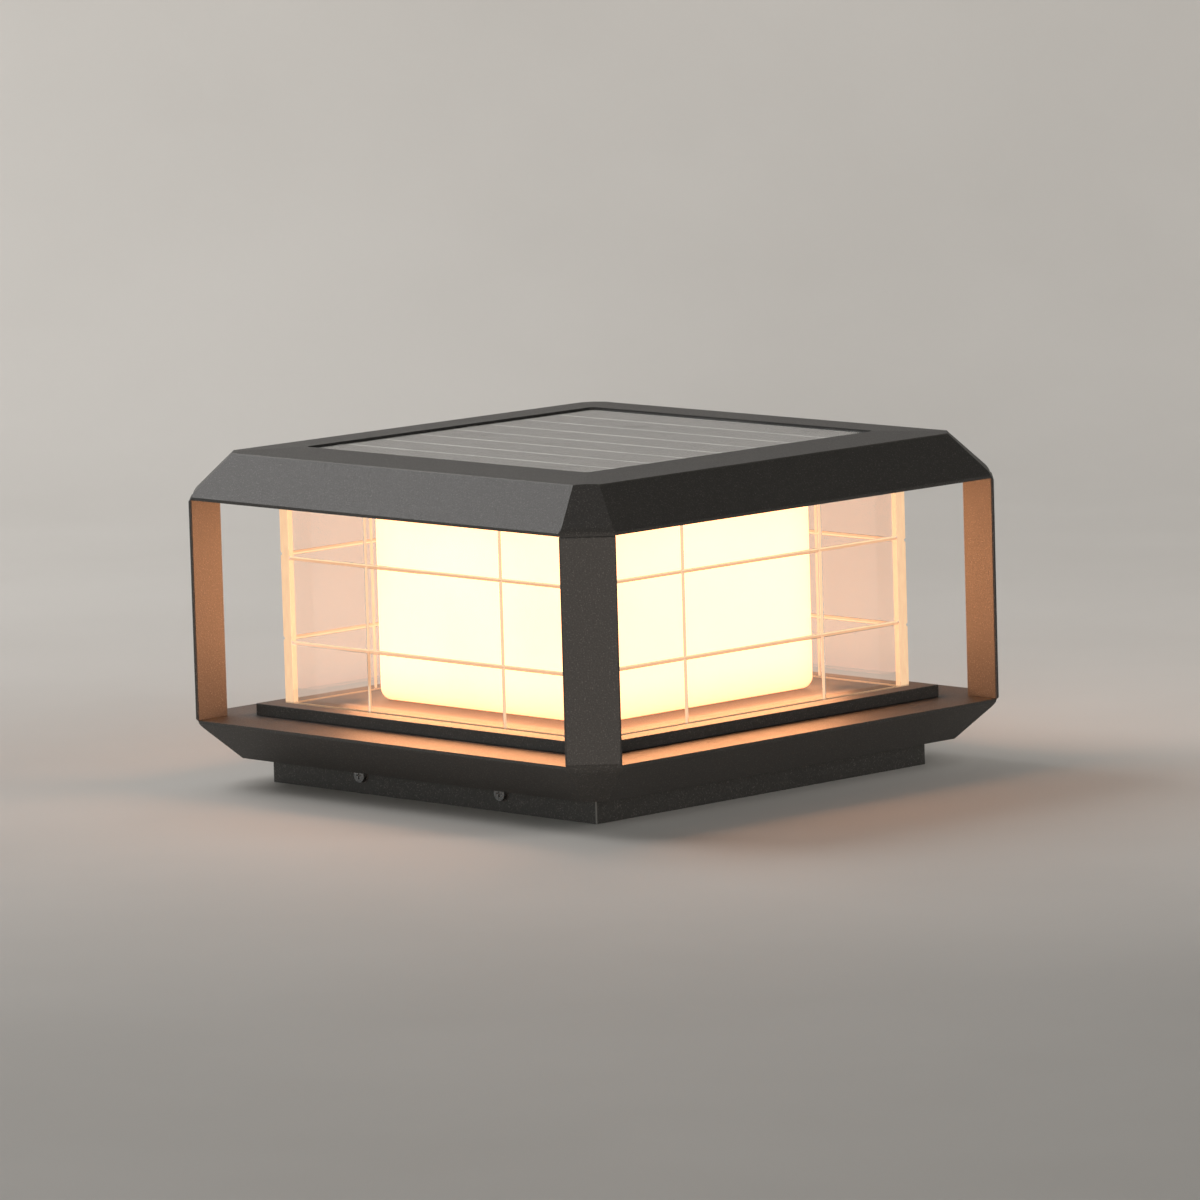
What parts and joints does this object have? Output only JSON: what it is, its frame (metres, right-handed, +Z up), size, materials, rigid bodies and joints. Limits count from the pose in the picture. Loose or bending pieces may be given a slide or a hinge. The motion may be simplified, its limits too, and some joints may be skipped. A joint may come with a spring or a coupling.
{
  "type": "solar pillar lantern",
  "caption": "Square solar gatepost lantern: bevelled cap and base joined by bent corner straps, engraved clear panels round a lit opal box, lifting off a pillar bracket.",
  "frame": {"origin": "middle of the foot's underside, on the pillar top", "axes": "+Z up, -Y the side with the foot screws that is taken as the front, +X to the right"},
  "size_m": [0.301, 0.301, 0.1682],
  "materials": {
    "powder_coat": "fine-texture matt powder coat, anthracite",
    "zinc_steel": "zinc-plated sheet",
    "screw_steel": "stainless, turned",
    "clear_acrylic": "clear cast acrylic with frosted engraved lines and sawn edges",
    "seal_rubber": "matt",
    "solar_glass": "prismatic low-glare glass",
    "solar_cell": "dark silicon with printed lines",
    "white_sheet": "white",
    "black_plastic": "moulded",
    "opal_acrylic": "opal, satin, lit warm white",
    "led_phosphor": "lit warm white",
    "battery_wrap": "shrink sleeve",
    "spring_metal": "nickel-plated",
    "circuit_board": "solder mask",
    "chip_black": "moulded",
    "white_plastic": "moulded",
    "lead_sleeve": "silicone sleeve"
  },
  "bodies": {
    "bracket": {"mounting_bracket": "zinc_steel"},
    "lantern": {"foot_frame": "powder_coat", "base_shell": "powder_coat", "tray_plate": "powder_coat", "tray_standoffs": "zinc_steel", "tray_screws": "screw_steel", "foot_screws_front": "screw_steel", "foot_screws_back": "screw_steel", "rivet_nuts_front": "zinc_steel", "rivet_nuts_back": "zinc_steel", "flange_screws": "screw_steel", "strap_front_right": "powder_coat", "strap_back_right": "powder_coat", "strap_back_left": "powder_coat", "strap_front_left": "powder_coat", "post_front_right": "powder_coat", "post_back_right": "powder_coat", "post_back_left": "powder_coat", "post_front_left": "powder_coat", "panel_front": "clear_acrylic", "panel_right": "clear_acrylic", "panel_back": "clear_acrylic", "panel_left": "clear_acrylic", "panel_gasket": "seal_rubber", "cap_shell": "powder_coat", "cap_plate": "powder_coat", "cap_standoffs": "zinc_steel", "cap_screws": "screw_steel", "solar_seal": "seal_rubber", "solar_glass": "solar_glass", "solar_cells": "solar_cell", "solar_backing": "white_sheet", "solar_junction": "black_plastic", "diffuser": "opal_acrylic", "reflector_plate": "white_sheet", "diffuser_screws": "screw_steel", "led_board": "white_sheet", "led_chips": "led_phosphor", "led_screws": "screw_steel", "battery_holder": "black_plastic", "battery_cell_left": "battery_wrap", "battery_cell_right": "battery_wrap", "battery_contacts": "spring_metal", "control_board": "circuit_board", "board_chips": "chip_black", "board_sockets": "white_plastic", "board_spacers": "white_plastic", "board_screws": "screw_steel", "solar_lead": "lead_sleeve", "battery_lead": "lead_sleeve", "led_lead": "lead_sleeve", "switch_body": "black_plastic", "switch_nut": "screw_steel"},
    "button": {"power_button": "white_plastic"}
  },
  "joints": [
    {"name": "lift_off", "type": "slide", "parent": "bracket", "child": "lantern", "axis": [0, 0, 1], "range_m": [0, 0.05]},
    {"name": "power_button_press", "type": "slide", "parent": "lantern", "child": "button", "axis": [0, 0, 1], "range_m": [0, 0.0015], "stiffness_N_per_m": 300, "springref_m": -0.002}
  ]
}
